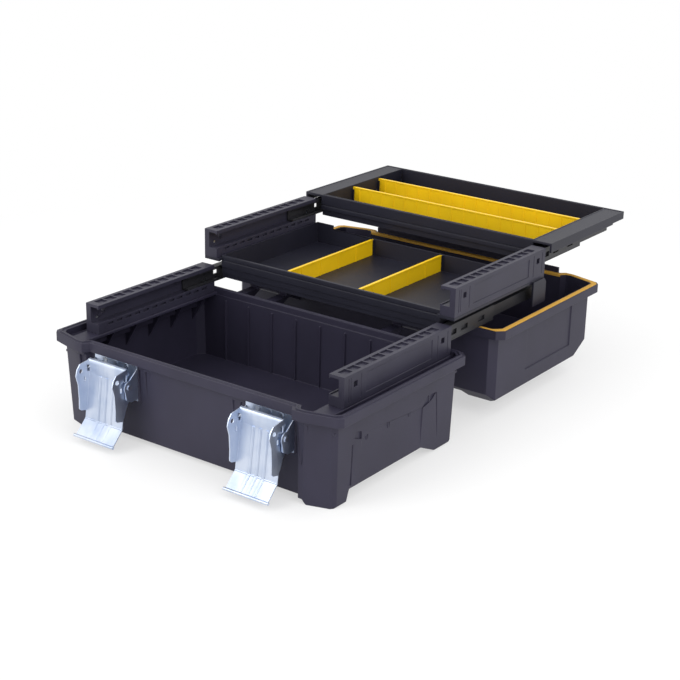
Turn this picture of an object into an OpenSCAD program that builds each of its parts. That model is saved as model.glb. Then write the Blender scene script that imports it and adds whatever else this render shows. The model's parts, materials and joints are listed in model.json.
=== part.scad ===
// Cantilever tool box, shown open: the lid lies back through half a turn and
// two trays are drawn out to the rear on telescopic slides, one level each.
// Millimetres. +X right, +Y to the rear, +Z up. The feet stand on z = 0.

/* [Case] */
// Width over the rims
case_w = 446; // [430:1:470]
// Depth of the base over its rim
base_d = 263; // [258:1:280]
// Height of the base from the floor to its rim
base_h = 118; // [112:1:130]
// Thickness of the moulded walls
wall = 3; // [2.4:0.1:3.4]
// Height of the rim flange
rim_h = 12; // [10:0.5:14]
// Overhang of the rim flange past the front and side walls
rim_out = 7; // [6:0.5:8]
// Further overhang past the side walls
side_in = 4.5; // [3:0.5:6]
// Lean of the front wall, from its top to the feet
lean = 4.4; // [3:0.2:5]
// Overhang of the rim flange past the rear wall
rim_rear = 3; // [2.5:0.1:4]
// How far the front of the rim stands ahead of the corners, between the pads
mid_out = 3; // [2:0.5:5]
// How far the corner pads stand ahead of the corners
pad_out = 12; // [10:0.5:14]
// Where a corner pad begins, from the middle
pad_x = 157; // [156:1:162]
// Width of the front face of a corner pad
pad_w = 13; // [10:1:20]
// Height of the floor plate's underside
floor_z = 14; // [12:0.5:14.5]
// Thickness of the floor plate
floor_t = 4.5; // [3:0.5:5]
// Height of the lower edge of the side walls between the feet
side_edge_z = 16; // [15:0.5:17]
// Height of the lower edge of the front wall
front_edge_z = 6; // [5:0.5:8]
// Height of the bead on the rim that meets the seal
bead_h = 1.4; // [1:0.1:2]
// Width of that bead
bead_w = 2; // [1.6:0.1:3]

/* [Lid] */
// Gap between the rims when the lid is shut
rim_gap = 1; // [0.8:0.1:1.5]
// Height of the hinge axis above the base's rim
hinge_rise = 3; // [2.5:0.1:3.5]
// Distance of the hinge axis behind the rims
hinge_back = 38.5; // [36:0.5:44]
// Height of the lid's middle panel above its rim
lid_panel_h = 96; // [94:1:98]
// Height of the lid's side pads above the middle panel
lid_pad_h = 7; // [5:0.5:9]
// Drop of the front skirt below the lid's rim
skirt_drop = 8; // [6:0.5:9]
// Clearance between the front skirt and the base's rim
skirt_gap = 0.5; // [0.4:0.1:1]
// Width of the seal
seal_w = 6.4; // [5:0.2:7]
// Depth of the seal's groove
seal_groove = 3; // [2.5:0.1:4]
// How far the seal stands out of its groove
seal_proud = 0.6; // [0.3:0.1:1]

/* [Hinges] */
// Distance of each hinge from the middle
hinge_x = 118; // [100:1:130]
// Width of each hinge over its knuckles
hinge_w = 64; // [54:1:70]
// Radius of the hinge knuckles
knuckle_r = 7; // [6:0.5:7.5]
// Radius of the hinge pins
hinge_pin_r = 2.5; // [2:0.1:3]
// Radial running clearance of a turning bore on its pin
run_gap = 0.08; // [0.05:0.01:0.1]
// Side clearance between knuckles
side_gap = 0.5; // [0.3:0.1:1]

/* [Slides] */
// Travel of each tray
tray_travel = 226; // [200:1:228]
// Length of an intermediate slide that stays inside its rail
slide_overlap = 52; // [46:1:60]
// Front end of the lower rails
rail_y = 34.5; // [30:0.5:36]
// Height of a rail
rail_h = 38; // [37:0.5:39]
// Width of a rail
rail_w = 21.5; // [20.5:0.1:22.5]
// Space between a rail and the wall beside it
rail_inset = 8; // [7.5:0.5:8.5]
// Drop of the rail ledge below the base's rim
ledge_drop = 5; // [4:0.5:6]
// Thickness of the ledges and decks that carry the rails
ledge_t = 4; // [3:0.5:5]
// Gap between a rail and the deck above it
level_gap = 4.5; // [4:0.5:6]
// Height of the channel in a rail
channel_h = 21; // [20:0.5:21.5]
// Height of the box section under the channel
box_h = 13; // [12.5:0.5:13.5]
// Sliding clearance
slide_gap = 0.3; // [0.25:0.05:0.35]
// Number of windows along the inside of a rail
windows = 12; // [8:1:14]

/* [Trays] */
// Space between a tray and the rails beside it
tray_gap = 3; // [2.5:0.1:3.4]
// Wall thickness of the trays
tray_wall = 2.2; // [2:0.1:2.6]
// Set-back of the middle tray's front from the front end of the rails
tray_set = 7.5; // [6:0.5:9]
// Height of the middle tray
tray_h = 31.5; // [30:0.5:33]
// Height of the middle tray's rim above its deck
tray_lip = 3.5; // [3:0.5:5]
// Height of the top tray
top_h = 31; // [28:1:33]
// Height of the skirt round the top tray
top_skirt = 13; // [10:1:14]
// Distance of the top tray's front from the front of the upper rails when out
top_set = 3.5; // [3:0.5:5]
// Distance of the middle tray's dividers from the middle
divider_left = -75; // [-90:1:-60]
// Place of the other divider of the middle tray
divider_right = 41; // [30:1:60]
// Thickness of the dividers
divider_t = 2.2; // [2:0.1:3]

/* [Latches] */
// Distance of each latch from the middle
latch_x = 120; // [116:1:122]
// Width of a latch lever
lever_w = 62; // [56:1:63]
// Width of the lip at the lever's end
lip_w = 66; // [64:1:68]
// Thickness of the latch plates
plate_t = 1.5; // [1.2:0.1:1.8]
// Height of the latch's fixed pivot
pivot_z = 80; // [76:1:82]
// Distance of the latch's pivots in front of the wall
pivot_out = 15; // [14:0.5:16]
// Distance between the two pivots of a latch link
link_l = 12.5; // [12:0.5:13]
// Radius of the latch pivots
latch_pin_r = 2; // [1.8:0.1:2.2]

/* [Handle] */
// Width of the handle's housing
housing_w = 210; // [200:1:230]
// Depth of the handle's housing
housing_d = 110; // [104:1:120]
// Front of the handle's housing, from the front corners
housing_y = 75; // [60:1:85]
// Width of the handle
handle_w = 164; // [150:1:168]
// Reach of the handle from its pivots to the middle of the grip
handle_l = 66; // [60:1:68]
// Thickness of the grip
grip_t = 18; // [16:1:19]
// Radius of the handle's pivot pins
handle_pin_r = 3; // [2.5:0.1:3.5]

/* [Hidden] */

$fn = 48;
eps = 0.01;
black = [0.16, 0.16, 0.18];
dark = [0.12, 0.12, 0.13];
yellow = [0.96, 0.75, 0.05];
amber = [0.94, 0.6, 0.12];
steel = [0.78, 0.8, 0.84];

half_w = case_w / 2;
inset = rim_out + wall;
wall_x = half_w - rim_out - side_in;
inner_x = wall_x - wall;
front_y = rim_out - mid_out;
rear_y = base_d - rim_rear;
inner_rear = rear_y - wall;
corner_c = 5;
rear_c = 9;
wall_top = base_h - rim_h;
rim_step = 0.5;
// the walls narrow towards the feet by this factor, about the middle of the rear wall
narrow = 1 - lean / (rear_y - front_y);
function side_x(z) = wall_x * (1 - (1 - narrow) * (wall_top - z) / wall_top);
pad_slope = 6;

// rails and slides, for the right-hand side and the lower level
rail_x1 = inner_x - rail_inset;
rail_x0 = rail_x1 - rail_w;
rail_z = base_h - ledge_drop;
rail_end_gap = 1.5;
rail_l = inner_rear - rail_end_gap - rail_y;
rail_rear = rail_y + rail_l;
level_step = rail_h + level_gap + ledge_t;
web_t = 8;
lip_t = 2;
lip_h = 1.2;
channel_z = rail_z + box_h;
channel_top = channel_z + channel_h;
channel_mid = (channel_z + channel_top) / 2;
slide_l = tray_travel / 2 + slide_overlap;
slide_y = rail_rear - slide_overlap;
slide_x1 = rail_x1 - web_t - slide_gap;
slide_x0 = rail_x0 + lip_t + slide_gap;
slide_t = 2.5;
slide_lip = 1.7;
runner_x1 = slide_x1 - slide_t - slide_gap;
runner_x0 = slide_x0 + slide_lip + slide_gap;
runner_h = channel_h - 2 * slide_gap - 2 * slide_t - 2 * slide_gap;
neck_h = runner_h - 2 * lip_h;

// trays
tray_x = rail_x0 - tray_gap;
mid_y0 = rail_y + tray_travel + tray_set;
mid_y1 = rail_rear + tray_travel;
deck_z1 = rail_z + level_step;
deck_z0 = deck_z1 - ledge_t;
mid_z1 = deck_z1 + tray_lip;
mid_z0 = mid_z1 - tray_h;
top_rise = 1;
rim_t = 3.5;
top_z1 = rail_z + level_step + rail_h + top_rise + rim_t;
top_z0 = top_z1 - top_h;
top_y0 = rail_y + 2 * tray_travel + top_set;
top_y1 = rail_rear + 2 * tray_travel - 8;
skirt_side_gap = 0.7;
guard_gap = 1;
top_x = rail_x1 + skirt_side_gap + wall;

// lid, in its shut place
lid_z = base_h + rim_gap;
hinge_y = base_d + hinge_back;
hinge_z = base_h + hinge_rise;
lid_out = skirt_gap + wall;
panel_z = lid_z + lid_panel_h;
pad_z = panel_z + lid_pad_h;
crown_z = 2 * hinge_z;
guard_z = crown_z - lid_z + seal_proud + guard_gap;
side_pad_x = pad_x + 11;

// latches
pivot_y = front_y - pivot_out;
lever_y = pivot_y - 2.5;
swing_y = pivot_y;
swing_z = pivot_z - link_l;
claw_z = pivot_z + 23;
claw_t = 2.6;
catch_d = 3;
catch_z = claw_z + 2 * link_l - claw_t - 0.1;
step_y = lever_y - 8;
step_z = 27;
lip_y = lever_y - 26;
lip_z = 9.5;
ear_x = lever_w / 2 + 2.6;

// handle, with the lid shut
handle_y1 = housing_y + housing_d - 22;
handle_z = crown_z - 3 - grip_t / 2;
pocket_w = handle_w + 8;
pocket_d = housing_d - 18;

// the lever's side view: claw, face and flared finger end, as a line of [y, z] points
lever_line = [[pivot_y + 1, claw_z - claw_t], [pivot_y + 1, claw_z], [lever_y + 0.4, claw_z - 0.8],
    [lever_y - 1, claw_z - 4], [lever_y - 1.4, claw_z - 12], [lever_y, pivot_z + 4],
    [step_y, step_z], [lip_y + 0.4, lip_z]];
lip_r = 1.9;

// the box's middle, from the tip of the latch lips to the back of the top tray
reach_front = lip_y - lip_r;
mid_shift = -(reach_front + top_y1) / 2;

module place() { translate([0, mid_shift, 0]) children(); }
module both() { children(); mirror([1, 0, 0]) children(); }
module side(s) { if (s > 0) children(); else mirror([1, 0, 0]) children(); }
module block(a, b) { translate(a) cube(b - a); }
// a profile of [y, z] points, drawn out along X from x0 to x1
module along_x(x0, x1) {
    translate([x0, 0, 0]) rotate([90, 0, 90]) linear_extrude(x1 - x0) children();
}
// a profile of [x, z] points, drawn out along Y from y0 to y1
module along_y(y0, y1) {
    translate([0, y1, 0]) rotate([90, 0, 0]) linear_extrude(y1 - y0) children();
}
module rod_x(x0, x1, y, z, r) { translate([x0, y, z]) rotate([0, 90, 0]) cylinder(h = x1 - x0, r = r); }

// right half of the case's outline, drawn in by i at the front and sides and by ir at the rear,
// with the front between the corner pads brought forward by fwd
function half_outline(i, ir, fwd = 0, si = 0) = [
    [pad_x + 0.6 * i, i - mid_out - fwd],
    [pad_x + pad_slope + 0.6 * i, i - pad_out], [pad_x + pad_slope + pad_w, i - pad_out],
    [half_w - corner_c - i - si, 0.75 * i - 1], [half_w - i - si, 0.75 * i + corner_c],
    [half_w - i - si, base_d - rear_c - ir], [half_w - rear_c - i - si, base_d - ir]];
function mirrored(p) = [for (k = [len(p) - 1 : -1 : 0]) [-p[k][0], p[k][1]]];
// and with the sides drawn in further by si
module outline(i, ir, fwd = 0, si = 0) {
    polygon(concat(half_outline(i, ir, fwd, si), mirrored(half_outline(i, ir, fwd, si))));
}
module slab(z0, z1, i, ir, fwd = 0, si = 0) {
    translate([0, 0, z0]) linear_extrude(z1 - z0) outline(i, ir, fwd, si);
}
// the same from the floor up to z1, with walls that narrow towards the floor
module tapered(z1, i, ir) {
    translate([0, base_d - ir, 0]) linear_extrude(z1, scale = 1 + (1 / narrow - 1) * z1 / wall_top)
        scale([narrow, narrow]) translate([0, ir - base_d, 0]) outline(i, ir, 0, side_in);
}

// base -----------------------------------------------------------------------
seal_in = 1.8;
seal_rear = 1;
seal_rear_w = 3.6;
seal_fwd = 1.5;
bead_in = seal_in + (seal_w - bead_w) / 2;
bead_rear = seal_rear + (seal_rear_w - bead_w) / 2;
foot_x0 = pad_x + 11;
foot_front = [[-20, 0], [33, 0], [38, side_edge_z], [38, 40], [-20, 40]];
function foot_rear() = [[rear_y - 75, 40], [rear_y - 75, side_edge_z], [rear_y - 40, 0],
    [rear_y - 13, 0], [rear_y + 1, 14], [rear_y + 1, 40]];
module feet() {
    intersection() {
        tapered(wall_top, rim_out, rim_rear);
        both() intersection() {
            union() {
                along_x(foot_x0, wall_x) polygon(foot_front);
                along_x(foot_x0, wall_x) polygon(foot_rear());
            }
            along_y(-20, base_d) polygon([[foot_x0, 40], [foot_x0, 8], [foot_x0 + 7, 0],
                [wall_x - 6, 0], [wall_x, 5], [wall_x, 40]]);
        }
    }
}
// what is missing under the floor plate: behind the front wall, and under the sides between the feet
module underside() {
    block([-half_w, front_y + lean + wall, -1], [half_w, base_d + 1, floor_z]);
    block([-half_w, -pad_out - 1, -1], [half_w, base_d, front_edge_z]);
    both() block([foot_x0 + 2, -pad_out - 1, -1], [half_w, base_d + 1, side_edge_z]);
}
// a tapered flute in the front, x0 to x1 wide at its top
module flute(x0, x1, z0, z1, y) {
    along_y(-pad_out - 10, y) polygon([[x0, z1], [x1, z1], [x1 - (x1 - x0) * 0.35, z0],
        [x0 + (x1 - x0) * 0.45, z0]]);
}
flute_d = 1.8;
// a mark of depth d in the sloping side wall, from a [y, z] shape
module side_mark(d) {
    intersection() {
        along_x(inner_x, half_w) children();
        along_y(-20, base_d + 20) polygon([[side_x(base_h) - d, base_h], [half_w, base_h], [half_w, -5],
            [side_x(-5) - d, -5]]);
    }
}
module base_marks() {
    both() {
        flute(latch_x - 56, latch_x - 47, 44, 99, front_y + flute_d);
        flute(latch_x - 44, latch_x - 36, 44, 99, front_y + flute_d);
        flute(pad_x + 8, pad_x + 17, 50, 100, rim_out - pad_out + flute_d + 0.8);
        flute(pad_x + 22, pad_x + 25, 54, 100, rim_out - pad_out + flute_d + 0.2);
        // the long panel between the two pillars, and the pillars' edges
        side_mark(1.2) polygon([[57.5, side_edge_z - 4], [57.5, 72], [84, 77], [rear_y - 77, 70],
            [rear_y - 77, side_edge_z - 4]]);
        side_mark(0.8) polygon([[rear_y - 49.5, 81], [rear_y - 48, 81], [rear_y - 38, 8], [rear_y - 39.5, 8]]);
        side_mark(0.8) polygon([[39.2, 20], [39.2, 71], [40.8, 71], [40.8, 20]]);
        // the scoops at the pillars' tops
        side_mark(2) polygon([[rear_y - 79, 69], [rear_y - 69, 82.5], [rear_y - 49.5, 81.4], [rear_y - 60, 73]]);
        side_mark(2) polygon([[43, 86], [56, 82.5], [57, 72.4], [43.5, 77]]);
    }
}
// ledges for the rails, with a trough between each rail and the wall beside it
trough_d = 18;
module ledges() {
    both() {
        along_y(inset - mid_out - 1, inner_rear + 1) polygon([[tray_x + 0.8, rail_z], [rail_x1 + 1, rail_z],
            [rail_x1 + 1, rail_z - trough_d], [inner_x + 1, rail_z - trough_d],
            [inner_x + 1, rail_z - trough_d - 3], [rail_x1 - 2, rail_z - trough_d - 3],
            [rail_x1 - 2, rail_z - ledge_t], [tray_x + 0.8, rail_z - ledge_t]]);
        for (k = [0 : 5]) along_y(24 + k * gusset_pitch, 27 + k * gusset_pitch) polygon([
            [inner_x + 1, rail_z - trough_d - 2], [rail_x1 - 1, rail_z - trough_d - 2],
            [rail_x1 - 1, rail_z - 2], [tray_x + 6, rail_z - 2], [inner_x + 1, rail_z - 46]]);
    }
}
gusset_pitch = (inner_rear - 24) / 5.4;
module knuckle_arm(x0, x1, top, y0) {
    along_x(x0, x1) {
        translate([hinge_y, hinge_z]) circle(r = knuckle_r);
        polygon([[y0, top - 26], [y0, top], [hinge_y - 6, top], [hinge_y, hinge_z + knuckle_r * 0.4],
            [hinge_y, hinge_z - knuckle_r], [hinge_y - 8, hinge_z - knuckle_r - 4]]);
    }
}
knuckle_w = 14;
module base_knuckles() {
    both() for (x = [hinge_x - hinge_w / 2, hinge_x + hinge_w / 2 - knuckle_w])
        knuckle_arm(x, x + knuckle_w, base_h - 2, rear_y - 1);
}
module base_tub() {
    color(black) place() difference() {
        union() {
            difference() {
                union() {
                    difference() {
                        tapered(wall_top, rim_out, rim_rear);
                        underside();
                    }
                    slab(wall_top - eps, base_h, 0, 0);
                    feet();
                    // raised seats for the latch brackets
                    both() block([latch_x - latch_seat, front_y, pivot_z - 23],
                        [latch_x + latch_seat, front_y + wall + lean, wall_top - 2]);
                }
                // the cavity, a little wider inside the rim
                intersection() {
                    tapered(wall_top + wall + 1, inset, rim_rear + wall);
                    block([-half_w, -pad_out, floor_z + floor_t], [half_w, base_d, base_h]);
                }
                // flat backs for the brackets' rivets
                both() block([latch_x - latch_seat, front_y + wall, pivot_z - 23],
                    [latch_x + latch_seat, front_y + wall + lean, wall_top + 1]);
                slab(wall_top + wall, base_h + 1, inset - rim_step, rim_rear + wall - rim_step);
                base_marks();
            }
            ledges();
            difference() {
                slab(base_h - 1, base_h + bead_h, bead_in, bead_rear);
                slab(base_h - 2, base_h + bead_h + 1, bead_in + bead_w, bead_rear + bead_w);
            }
            for (k = [-4 : 4]) block([40 * k - 1.2, inner_rear - 2.2, floor_z + floor_t - 1],
                [40 * k + 1.2, inner_rear + 1, base_h - 14]);
            base_knuckles();
        }
        both() rod_x(hinge_x - hinge_w, hinge_x + hinge_w, hinge_y, hinge_z, hinge_pin_r);
        both() screw_row(0, 0) cylinder(h = 60, r = screw_r, center = true);
        both() for (p = bracket_holes) translate([latch_x + p[0], front_y + 1, p[1]]) rotate([90, 0, 0])
            cylinder(h = 12, r = rivet_r, center = true);
    }
}

// rails ----------------------------------------------------------------------
screw_r = 1.6;
screw_x = rail_x0 + 5.5;
module screw_row(dy, dz) {
    for (k = [0 : 2]) translate([screw_x, rail_y + dy + 20 + k * (rail_l - 40) / 2, rail_z + dz]) children();
}
window_pitch = (rail_l - 26) / windows;
module rail(s, dy, dz) {
    color(dark) place() translate([0, dy, dz]) side(s) difference() {
        block([rail_x0, rail_y, rail_z], [rail_x1, rail_rear, rail_z + rail_h]);
        // the channel that the slide runs in, open to the inside between two lips
        block([rail_x0 + lip_t, rail_y - 1, channel_z], [rail_x1 - web_t, rail_rear + 1, channel_top]);
        block([rail_x0 - 1, rail_y - 1, channel_z + lip_h], [rail_x0 + lip_t + 1, rail_rear + 1, channel_top - lip_h]);
        // shallow pockets between the cross ribs along the top
        for (k = [0 : windows - 1]) block([rail_x0 + 5, rail_y + 9 + k * window_pitch, channel_top + 1.8],
            [rail_x1 - 5, rail_y + 9 + (k + 1) * window_pitch - 2.5, rail_z + rail_h + 1]);
        // a row of slots under the channel
        for (k = [0 : windows - 1]) block([rail_x0 - 1, rail_y + 16 + k * window_pitch, channel_z - 4.5],
            [rail_x0 + 3, rail_y + 16 + (k + 0.62) * window_pitch, channel_z - 1.5]);
        // a shallow long panel on the outside, between the square windows
        block([rail_x1 - 0.8, rail_y + 42, rail_z + 8], [rail_x1 + 1, rail_rear - 42, rail_z + rail_h - 6]);
        for (y = [rail_y + 22, rail_rear - 19]) block([rail_x1 - web_t - 1, y - 3.5, channel_mid - 2.5],
            [rail_x1 + 1, y + 3.5, channel_mid + 4.5]);
        // upright grooves beside the square windows
        for (y = [rail_y + 8, rail_y + 12, rail_y + 32, rail_rear - 9, rail_rear - 31])
            block([rail_x1 - 0.5, y, rail_z + 5], [rail_x1 + 1, y + 1.4, rail_z + rail_h - 4]);
        // the stop pin's seat in the back of the channel, and the screw holes
        rod_x(rail_x1 - web_t - 1, rail_x1 - 1, rail_y + stop_y, channel_z + stop_rise, stop_r);
        screw_at_rail() translate([0, 0, -1]) cylinder(h = 9, r = screw_r);
    }
}
module screw_at_rail() {
    for (k = [0 : 2]) translate([screw_x, rail_y + 20 + k * (rail_l - 40) / 2, rail_z]) children();
}
module rail_screws(dy, dz) {
    color(steel) place() translate([0, dy, dz]) both() screw_at_rail() {
        translate([0, 0, -ledge_t - 2.2]) cylinder(h = 2.2, r = 3.2);
        translate([0, 0, -ledge_t - 0.5]) cylinder(h = ledge_t + 8, r = screw_r);
    }
}
// steel pins, flush with the faces they are set in: one in each rail, one in each slide
stop_r = 1.8;
stop_y = 10.5;
stop_rise = 5;
flush = 0.1;
slide_pin_y = slide_y + slide_overlap - 9;
module stop_pins(dy, dz) {
    color(steel) place() translate([0, dy, dz]) both()
        rod_x(rail_x1 - web_t + flush, rail_x1 - 1, rail_y + stop_y, channel_z + stop_rise, stop_r);
}
module slide_pin(s, level) {
    color(steel) place() translate([0, level * tray_travel, level * level_step]) side(s)
        rod_x(slide_x1 - slide_t + flush, slide_x1 - flush, slide_pin_y, channel_z + stop_rise, stop_r);
}
module slide_member(s, level) {
    z0 = channel_z + slide_gap;
    z1 = channel_top - slide_gap;
    color(black) place() translate([0, level * tray_travel, level * level_step]) side(s) difference() {
        block([slide_x0, slide_y, z0], [slide_x1, slide_y + slide_l, z1]);
        block([slide_x0 + slide_lip, slide_y - 1, z0 + slide_t], [slide_x1 - slide_t, slide_y + slide_l + 1, z1 - slide_t]);
        block([slide_x0 - 1, slide_y - 1, z0 + slide_t + lip_h],
            [slide_x0 + slide_lip + 1, slide_y + slide_l + 1, z1 - slide_t - lip_h]);
        rod_x(slide_x1 - slide_t - 1, slide_x1 + 1, slide_pin_y, channel_z + stop_rise, stop_r);
        for (y = [slide_y + 62, slide_y + 88, slide_y + 128]) block([slide_x1 - slide_t - 1, y, channel_mid - 3.4],
            [slide_x1 + 1, y + 15, channel_mid + 3.4]);
    }
}
module runner(s, level, y0, y1) {
    zc = channel_mid + level * level_step;
    color(black) place() side(s) difference() {
        union() {
            block([runner_x0, y0, zc - runner_h / 2], [runner_x1, y1, zc + runner_h / 2]);
            block([tray_x, y0, zc - neck_h / 2], [runner_x0 + eps, y1, zc + neck_h / 2]);
        }
        for (k = [0 : 6]) block([tray_x + 1.5, y0 + 12 + k * (y1 - y0 - 24) / 7, zc - runner_h],
            [runner_x0 - 1, y0 + 12 + (k + 0.72) * (y1 - y0 - 24) / 7, zc + neck_h / 2 - 2]);
    }
}

// trays ----------------------------------------------------------------------
module guard() {
    both() {
        along_x(rail_x1 + skirt_side_gap, top_x) polygon([[mid_y1 - 33, guard_z],
            [mid_y1, guard_z], [mid_y1, deck_z1 - 7], [mid_y1 - 5, deck_z1 - 1], [mid_y1 - 33, deck_z1 - 1]]);
        block([rail_x1 - 2, mid_y1 - 33, deck_z0], [top_x - 1, mid_y1 - 6, deck_z1 - 1]);
    }
}
module middle_tray() {
    color(dark) place() difference() {
        union() {
            block([-tray_x, mid_y0, mid_z0], [tray_x, mid_y1, deck_z1]);
            // deck flanges under the upper rails, tied into the front fascia
            both() block([tray_x - 1, rail_y + tray_travel, deck_z0], [rail_x1, mid_y1, deck_z1]);
            // the rim stands between the rails
            block([-tray_x, mid_y0, deck_z1 - 1], [tray_x, mid_y1, mid_z1]);
            // a raised band along the front and the rolled edge above it
            block([-tray_x, mid_y0 - 1.6, mid_z0 + 15], [tray_x, mid_y0 + 1, mid_z1]);
            guard();
        }
        block([tray_wall - tray_x, mid_y0 + tray_wall, mid_z0 + tray_wall],
            [tray_x - tray_wall, mid_y1 - tray_wall, mid_z1 + 1]);
        // the front's lower edge is drawn back, which leaves the dark lip under it
        along_x(-tray_x - 1, tray_x + 1) polygon([[mid_y0 - 3, mid_z0 - 1], [mid_y0 + 1.3, mid_z0 - 1],
            [mid_y0 + 1.3, mid_z0 + 6], [mid_y0 - 3, mid_z0 + 6]]);
        block([-tray_x - 1, mid_y0 - 3, mid_z0 + 24], [tray_x + 1, mid_y0 - 1, mid_z0 + 25.2]);
        both() screw_row(tray_travel, level_step) cylinder(h = 3 * ledge_t, r = screw_r, center = true);
        // the rear wall is lower between its ends
        block([-tray_x + 30, mid_y1 - tray_wall - 1, deck_z1 - 2], [tray_x - 30, mid_y1 + 1, mid_z1 + 1]);
    }
    // slots for the dividers are upright ribs on the front and rear walls
    color(dark) place() for (x = [divider_left, divider_right], y = [mid_y0 + tray_wall - eps, mid_y1 - tray_wall - 3 + eps])
        for (e = [-1, 1]) block([x + e * (divider_t / 2 + 0.2) - (e < 0 ? 1.5 : 0), y, mid_z0 + tray_wall - eps],
            [x + e * (divider_t / 2 + 0.2) + (e > 0 ? 1.5 : 0), y + 3, deck_z1 - 3]);
}
module middle_divider(x) {
    y0 = mid_y0 + tray_wall + 0.2;
    y1 = mid_y1 - tray_wall - 0.2;
    z0 = mid_z0 + tray_wall;
    color(yellow) place() {
        block([x - divider_t / 2, y0, z0], [x + divider_t / 2, y1, deck_z1 - 3]);
        block([x - divider_t / 2 - 0.8, y0 + 4, deck_z1 - 4.6], [x + divider_t / 2 + 0.8, y1 - 4, deck_z1 - 2.4]);
        for (k = [1 : 4]) block([x - divider_t / 2 - 0.8, y0 + k * (y1 - y0) / 5 - 1, z0],
            [x + divider_t / 2 + 0.8, y0 + k * (y1 - y0) / 5 + 1, deck_z1 - 4]);
    }
}
top_open_x = tray_x - tray_wall;
top_div_y1 = top_y0 + 76;
top_div_y2 = top_y0 + 142;
module top_tray() {
    color(dark) place() difference() {
        union() {
            block([-tray_x, top_y0 + 3, top_z0], [tray_x, top_y1 - 3, top_z1]);
            difference() {
                block([-top_x, top_y0, top_z1 - top_skirt], [top_x, top_y1, top_z1]);
                both() block([tray_x - 1, top_y0 - 1, top_z1 - top_skirt - 1], [top_x - wall, top_y1 + 1, top_z1 - rim_t]);
            }
            // a thickened fascia across the front
            block([-tray_x, top_y0, top_z0 + 9], [tray_x, top_y0 + 4, top_z1]);
        }
        block([-top_open_x, top_y0 + 3 + tray_wall, top_z0 + tray_wall], [top_open_x, top_y1 - 3 - tray_wall, top_z1 + 1]);
        // the rim's flat is sunk a little inside its raised edge
        difference() {
            block([2 - top_x, top_y0 + 2, top_z1 - 0.8], [top_x - 2, top_y1 - 2, top_z1 + 1]);
            block([-top_open_x - 1.6, top_y0 + 1.4 + tray_wall, top_z1 - 2], [top_open_x + 1.6, top_y1 - 1.4 - tray_wall, top_z1 + 2]);
        }
        block([-tray_x - 1, top_y0 - 1, top_z0 + 15], [tray_x + 1, top_y0 + 0.8, top_z0 + 16.4]);
        // the skirt's rear corners are cut away underneath
        both() block([top_x - wall - 1, top_y1 - 32, top_z1 - top_skirt - 1], [top_x + 1, top_y1 + 1, top_z1 - top_skirt + 2]);
    }
    color(dark) place() both() for (y = [top_div_y1, top_div_y2], e = [-1, 1])
        block([top_open_x - 3, y + e * (divider_t / 2 + 0.2) - (e < 0 ? 1.5 : 0), top_z0 + tray_wall - eps],
            [top_open_x + eps, y + e * (divider_t / 2 + 0.2) + (e > 0 ? 1.5 : 0), top_z1 - 6]);
}
module top_divider(y) {
    x1 = top_open_x - 0.2;
    z0 = top_z0 + tray_wall;
    z1 = top_z1 - 2.5;
    color(yellow) place() {
        block([-x1, y - divider_t / 2, z0], [x1, y + divider_t / 2, z1]);
        block([4 - x1, y - divider_t / 2 - 0.8, z1 - 2], [x1 - 4, y + divider_t / 2 + 0.8, z1]);
        for (k = [-8 : 8]) block([k * x1 / 8.6 - 1, y - divider_t / 2 - 0.8, z0],
            [k * x1 / 8.6 + 1, y + divider_t / 2 + 0.8, z1 - 1]);
    }
}

// lid, drawn shut and laid back by half a turn --------------------------------
module laid_back() {
    translate([0, hinge_y, hinge_z]) rotate([180, 0, 0]) translate([0, -hinge_y, -hinge_z]) children();
}
// the lid's outer form, drawn in by t all round
module lid_form(t) {
    intersection() {
        slab(lid_z, crown_z, rim_out + t, rim_rear + t, lid_out, side_in);
        along_y(-40, base_d + 10) both() polygon([[-1, lid_z - 1], [half_w, lid_z - 1],
            [half_w, pad_z - 11 - t], [wall_x - 9 - t, pad_z - t], [side_pad_x + t, pad_z - t],
            [side_pad_x - 7 + t, panel_z - t], [-1, panel_z - t]]);
        along_x(-half_w, half_w) polygon([[-40, lid_z - 1], [base_d, lid_z - 1],
            [base_d, pad_z - 16 - t], [base_d - 18 - t, pad_z + 1 - t], [50 + t, pad_z + 1 - t],
            [8 + t, pad_z - 22 - t], [-40, pad_z - 22 - t]]);
    }
}
module housing() {
    c = 8;
    y1 = housing_y + housing_d;
    intersection() {
        along_y(housing_y, y1) polygon([[-housing_w / 2, panel_z - 2], [housing_w / 2, panel_z - 2],
            [housing_w / 2, crown_z - c], [housing_w / 2 - c, crown_z], [c - housing_w / 2, crown_z],
            [-housing_w / 2, crown_z - c]]);
        along_x(-housing_w, housing_w) polygon([[housing_y, panel_z - 2], [y1, panel_z - 2], [y1, crown_z - c],
            [y1 - c, crown_z], [housing_y + c, crown_z], [housing_y, crown_z - c]]);
    }
}
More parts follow.
